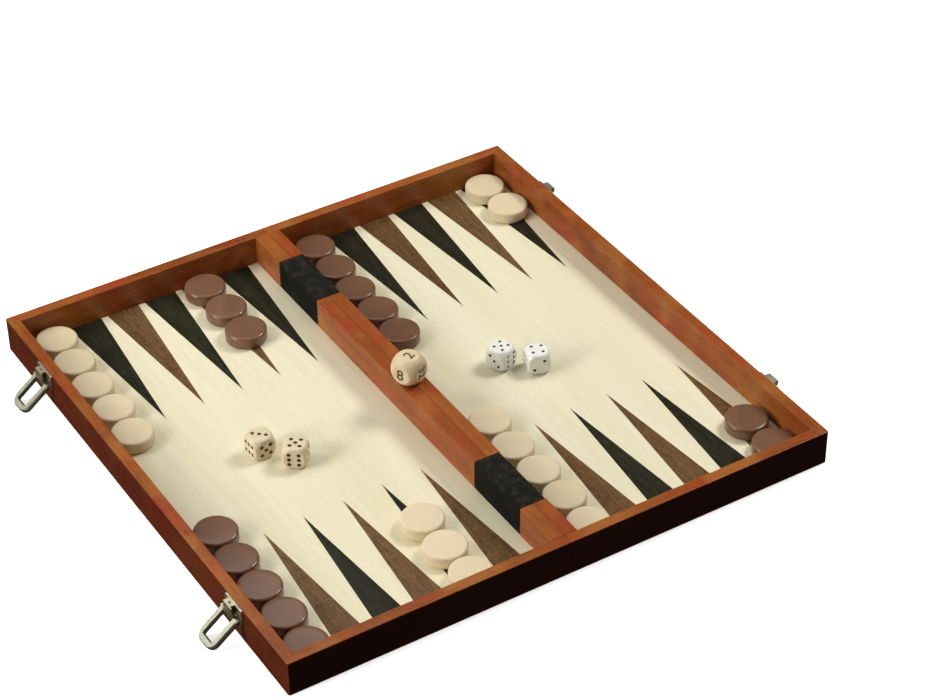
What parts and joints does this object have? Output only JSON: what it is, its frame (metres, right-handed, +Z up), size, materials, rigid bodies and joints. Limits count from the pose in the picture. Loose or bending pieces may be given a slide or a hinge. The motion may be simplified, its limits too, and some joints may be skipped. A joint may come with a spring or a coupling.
{
  "type": "folding backgammon set",
  "caption": "Hinged wooden case that opens flat into a backgammon board, with a chessboard outside, snap latches, checkers, dice and a doubling cube.",
  "frame": {"origin": "on the table plane under the fold line, at the middle of the bar's length, case open flat", "axes": "+X from the left tray to the right tray, +Y along the bar to the far end, +Z up out of the trays"},
  "size_m": [0.4196, 0.392, 0.045],
  "materials": {
    "mahogany_rail": "satin lacquer",
    "maple_panel": "satin lacquer",
    "black_veneer": "satin lacquer",
    "walnut_veneer": "satin lacquer",
    "chess_maple": "satin lacquer",
    "chess_sapele": "satin lacquer",
    "dark_checker_lacquer": "gloss lacquer",
    "light_checker_beech": "smooth",
    "wooden_die": "smooth",
    "white_die": "gloss",
    "wooden_cube": "smooth",
    "latch_nickel": "aged nickel",
    "screw_steel": "aged nickel",
    "strap_textile": "woven"
  },
  "bodies": {
    "left_tray": {"bar_rail_left": "mahogany_rail", "chess_dark_left": "chess_sapele", "chess_light_left": "chess_maple", "end_rails_left": "mahogany_rail", "floor_panel_left": "maple_panel", "outer_rail_left": "mahogany_rail", "points_black_left": "black_veneer", "points_brown_left": "walnut_veneer", "strap_leaves_left": "strap_textile", "latch_brackets": "latch_nickel", "latch_screws": "screw_steel", "latch_pins": "latch_nickel"},
    "right_tray": {"bar_rail_right": "mahogany_rail", "chess_dark_right": "chess_sapele", "chess_light_right": "chess_maple", "end_rails_right": "mahogany_rail", "floor_panel_right": "maple_panel", "outer_rail_right": "mahogany_rail", "points_black_right": "black_veneer", "points_brown_right": "walnut_veneer", "strap_leaves_right": "strap_textile", "catch_plates": "latch_nickel", "catch_screws": "screw_steel"},
    "latch_loop_far": {"latch_loop_far": "latch_nickel"},
    "latch_loop_near": {"latch_loop_near": "latch_nickel"},
    "doubling_cube": {"doubling_cube": "wooden_cube"},
    "checker_dark_01": {"checker_dark_01": "dark_checker_lacquer"},
    "checker_dark_02": {"checker_dark_02": "dark_checker_lacquer"},
    "checker_dark_03": {"checker_dark_03": "dark_checker_lacquer"},
    "checker_dark_04": {"checker_dark_04": "dark_checker_lacquer"},
    "checker_dark_05": {"checker_dark_05": "dark_checker_lacquer"},
    "checker_dark_06": {"checker_dark_06": "dark_checker_lacquer"},
    "checker_dark_07": {"checker_dark_07": "dark_checker_lacquer"},
    "checker_dark_08": {"checker_dark_08": "dark_checker_lacquer"},
    "checker_dark_09": {"checker_dark_09": "dark_checker_lacquer"},
    "checker_dark_10": {"checker_dark_10": "dark_checker_lacquer"},
    "checker_dark_11": {"checker_dark_11": "dark_checker_lacquer"},
    "checker_dark_12": {"checker_dark_12": "dark_checker_lacquer"},
    "checker_dark_13": {"checker_dark_13": "dark_checker_lacquer"},
    "checker_dark_14": {"checker_dark_14": "dark_checker_lacquer"},
    "checker_dark_15": {"checker_dark_15": "dark_checker_lacquer"},
    "checker_light_01": {"checker_light_01": "light_checker_beech"},
    "checker_light_02": {"checker_light_02": "light_checker_beech"},
    "checker_light_03": {"checker_light_03": "light_checker_beech"},
    "checker_light_04": {"checker_light_04": "light_checker_beech"},
    "checker_light_05": {"checker_light_05": "light_checker_beech"},
    "checker_light_06": {"checker_light_06": "light_checker_beech"},
    "checker_light_07": {"checker_light_07": "light_checker_beech"},
    "checker_light_08": {"checker_light_08": "light_checker_beech"},
    "checker_light_09": {"checker_light_09": "light_checker_beech"},
    "checker_light_10": {"checker_light_10": "light_checker_beech"},
    "checker_light_11": {"checker_light_11": "light_checker_beech"},
    "checker_light_12": {"checker_light_12": "light_checker_beech"},
    "checker_light_13": {"checker_light_13": "light_checker_beech"},
    "checker_light_14": {"checker_light_14": "light_checker_beech"},
    "checker_light_15": {"checker_light_15": "light_checker_beech"},
    "die_white_1": {"die_white_1": "white_die"},
    "die_white_2": {"die_white_2": "white_die"},
    "die_wood_1": {"die_wood_1": "wooden_die"},
    "die_wood_2": {"die_wood_2": "wooden_die"}
  },
  "joints": [
    {"name": "case_fold", "type": "hinge", "parent": "left_tray", "child": "right_tray", "pos_m": [0, 0, 0.02505], "axis": [0, -1, 0], "range_deg": [0, 180]},
    {"name": "latch_far_swing", "type": "hinge", "parent": "left_tray", "child": "latch_loop_far", "pos_m": [-0.1995, 0.132, 0.016], "axis": [0, 1, 0], "range_deg": [0, 128]},
    {"name": "latch_near_swing", "type": "hinge", "parent": "left_tray", "child": "latch_loop_near", "pos_m": [-0.1995, -0.132, 0.016], "axis": [0, 1, 0], "range_deg": [0, 128]},
    {"name": "cube_set_down", "type": "hinge", "parent": "left_tray", "child": "doubling_cube", "pos_m": [-0.0125, -0.0072, 0.0245], "axis": [0, -1, 0], "range_deg": [0, 180]},
    {"name": "lift_checker_dark_01", "type": "slide", "parent": "left_tray", "child": "checker_dark_01", "axis": [0, 0, -1], "range_m": [-0.025, 0]},
    {"name": "lift_checker_dark_02", "type": "slide", "parent": "left_tray", "child": "checker_dark_02", "axis": [0, 0, -1], "range_m": [-0.025, 0]},
    {"name": "lift_checker_dark_03", "type": "slide", "parent": "left_tray", "child": "checker_dark_03", "axis": [0, 0, -1], "range_m": [-0.025, 0]},
    {"name": "lift_checker_dark_04", "type": "slide", "parent": "right_tray", "child": "checker_dark_04", "axis": [0, 0, -1], "range_m": [-0.025, 0]},
    {"name": "lift_checker_dark_05", "type": "slide", "parent": "right_tray", "child": "checker_dark_05", "axis": [0, 0, -1], "range_m": [-0.025, 0]},
    {"name": "lift_checker_dark_06", "type": "slide", "parent": "right_tray", "child": "checker_dark_06", "axis": [0, 0, -1], "range_m": [-0.025, 0]},
    {"name": "lift_checker_dark_07", "type": "slide", "parent": "right_tray", "child": "checker_dark_07", "axis": [0, 0, -1], "range_m": [-0.025, 0]},
    {"name": "lift_checker_dark_08", "type": "slide", "parent": "right_tray", "child": "checker_dark_08", "axis": [0, 0, -1], "range_m": [-0.025, 0]},
    {"name": "lift_checker_dark_09", "type": "slide", "parent": "left_tray", "child": "checker_dark_09", "axis": [0, 0, -1], "range_m": [-0.025, 0]},
    {"name": "lift_checker_dark_10", "type": "slide", "parent": "left_tray", "child": "checker_dark_10", "axis": [0, 0, -1], "range_m": [-0.025, 0]},
    {"name": "lift_checker_dark_11", "type": "slide", "parent": "left_tray", "child": "checker_dark_11", "axis": [0, 0, -1], "range_m": [-0.025, 0]},
    {"name": "lift_checker_dark_12", "type": "slide", "parent": "left_tray", "child": "checker_dark_12", "axis": [0, 0, -1], "range_m": [-0.025, 0]},
    {"name": "lift_checker_dark_13", "type": "slide", "parent": "left_tray", "child": "checker_dark_13", "axis": [0, 0, -1], "range_m": [-0.025, 0]},
    {"name": "lift_checker_dark_14", "type": "slide", "parent": "right_tray", "child": "checker_dark_14", "axis": [0, 0, -1], "range_m": [-0.025, 0]},
    {"name": "lift_checker_dark_15", "type": "slide", "parent": "right_tray", "child": "checker_dark_15", "axis": [0, 0, -1], "range_m": [-0.025, 0]},
    {"name": "lift_checker_light_01", "type": "slide", "parent": "left_tray", "child": "checker_light_01", "axis": [0, 0, -1], "range_m": [-0.025, 0]},
    {"name": "lift_checker_light_02", "type": "slide", "parent": "left_tray", "child": "checker_light_02", "axis": [0, 0, -1], "range_m": [-0.025, 0]},
    {"name": "lift_checker_light_03", "type": "slide", "parent": "left_tray", "child": "checker_light_03", "axis": [0, 0, -1], "range_m": [-0.025, 0]},
    {"name": "lift_checker_light_04", "type": "slide", "parent": "left_tray", "child": "checker_light_04", "axis": [0, 0, -1], "range_m": [-0.025, 0]},
    {"name": "lift_checker_light_05", "type": "slide", "parent": "left_tray", "child": "checker_light_05", "axis": [0, 0, -1], "range_m": [-0.025, 0]},
    {"name": "lift_checker_light_06", "type": "slide", "parent": "right_tray", "child": "checker_light_06", "axis": [0, 0, -1], "range_m": [-0.025, 0]},
    {"name": "lift_checker_light_07", "type": "slide", "parent": "right_tray", "child": "checker_light_07", "axis": [0, 0, -1], "range_m": [-0.025, 0]},
    {"name": "lift_checker_light_08", "type": "slide", "parent": "left_tray", "child": "checker_light_08", "axis": [0, 0, -1], "range_m": [-0.025, 0]},
    {"name": "lift_checker_light_09", "type": "slide", "parent": "left_tray", "child": "checker_light_09", "axis": [0, 0, -1], "range_m": [-0.025, 0]},
    {"name": "lift_checker_light_10", "type": "slide", "parent": "left_tray", "child": "checker_light_10", "axis": [0, 0, -1], "range_m": [-0.025, 0]},
    {"name": "lift_checker_light_11", "type": "slide", "parent": "right_tray", "child": "checker_light_11", "axis": [0, 0, -1], "range_m": [-0.025, 0]},
    {"name": "lift_checker_light_12", "type": "slide", "parent": "right_tray", "child": "checker_light_12", "axis": [0, 0, -1], "range_m": [-0.025, 0]},
    {"name": "lift_checker_light_13", "type": "slide", "parent": "right_tray", "child": "checker_light_13", "axis": [0, 0, -1], "range_m": [-0.025, 0]},
    {"name": "lift_checker_light_14", "type": "slide", "parent": "right_tray", "child": "checker_light_14", "axis": [0, 0, -1], "range_m": [-0.025, 0]},
    {"name": "lift_checker_light_15", "type": "slide", "parent": "right_tray", "child": "checker_light_15", "axis": [0, 0, -1], "range_m": [-0.025, 0]},
    {"name": "lift_die_white_1", "type": "slide", "parent": "right_tray", "child": "die_white_1", "axis": [0, 0, -1], "range_m": [-0.025, 0]},
    {"name": "lift_die_white_2", "type": "slide", "parent": "right_tray", "child": "die_white_2", "axis": [0, 0, -1], "range_m": [-0.025, 0]},
    {"name": "lift_die_wood_1", "type": "slide", "parent": "left_tray", "child": "die_wood_1", "axis": [0, 0, -1], "range_m": [-0.025, 0]},
    {"name": "lift_die_wood_2", "type": "slide", "parent": "left_tray", "child": "die_wood_2", "axis": [0, 0, -1], "range_m": [-0.025, 0]}
  ],
  "couplings": [
    {"joint": "cube_set_down", "follows": "case_fold", "ratio": 1}
  ]
}
